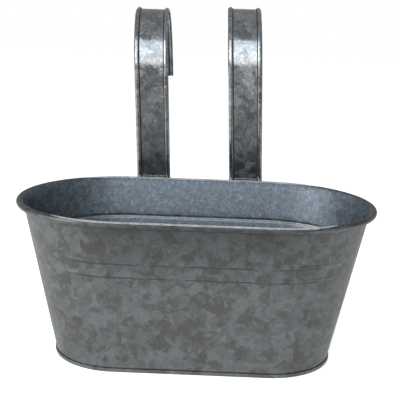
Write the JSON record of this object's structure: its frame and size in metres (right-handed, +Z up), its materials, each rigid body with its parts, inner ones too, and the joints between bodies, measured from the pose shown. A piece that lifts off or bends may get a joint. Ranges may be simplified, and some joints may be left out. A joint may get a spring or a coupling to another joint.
{
  "type": "wall planter",
  "caption": "Tapered oval sheet-metal planter with a rolled rim and strap hooks that hang it over a rail.",
  "frame": {"origin": "on the ground plane, under the middle of the planter's overall box, hooks included", "axes": "+X along the planter, +Y from the planter's front towards the rail, +Z up"},
  "size_m": [0.301, 0.2643, 0.293],
  "materials": {
    "galvanised_wall": "dull spangled zinc",
    "galvanised_base": "dull zinc",
    "steel_wire": "drawn wire",
    "galvanised_strap": "satin zinc"
  },
  "bodies": {
    "root": {"front_wall": "galvanised_wall", "back_wall": "galvanised_wall", "base_pan": "galvanised_base", "rim_wire": "steel_wire", "left_hanger_strap": "galvanised_strap", "right_hanger_strap": "galvanised_strap"}
  },
  "joints": []
}
